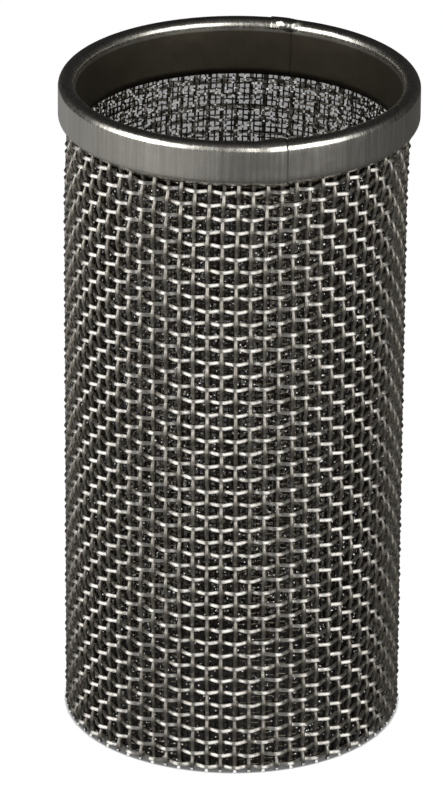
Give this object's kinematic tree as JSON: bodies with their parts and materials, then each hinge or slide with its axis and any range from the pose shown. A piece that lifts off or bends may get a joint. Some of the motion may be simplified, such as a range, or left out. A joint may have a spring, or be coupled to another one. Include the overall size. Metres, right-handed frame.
{
  "type": "strainer screen",
  "caption": "Cylindrical wire-mesh strainer screen, open at both ends, with a fine mesh sleeve inside and a folded sheet-metal collar gripping its top edge.",
  "frame": {"origin": "on the screen's axis, in the plane of the cut wire ends that it stands on", "axes": "+Z along the screen's axis, up to the collar; -Y towards the front lap of the collar"},
  "size_m": [0.0522, 0.0524, 0.0999],
  "materials": {
    "coarse_mesh": "drawn stainless wire, bright crowns",
    "fine_mesh": "drawn stainless wire, dull",
    "collar_sheet": "cold-rolled stainless sheet, brushed across the strip"
  },
  "bodies": {
    "root": {"coarse_screen": "coarse_mesh", "fine_sleeve": "fine_mesh", "collar_short_channel": "collar_sheet", "collar_long_channel": "collar_sheet"}
  },
  "joints": []
}
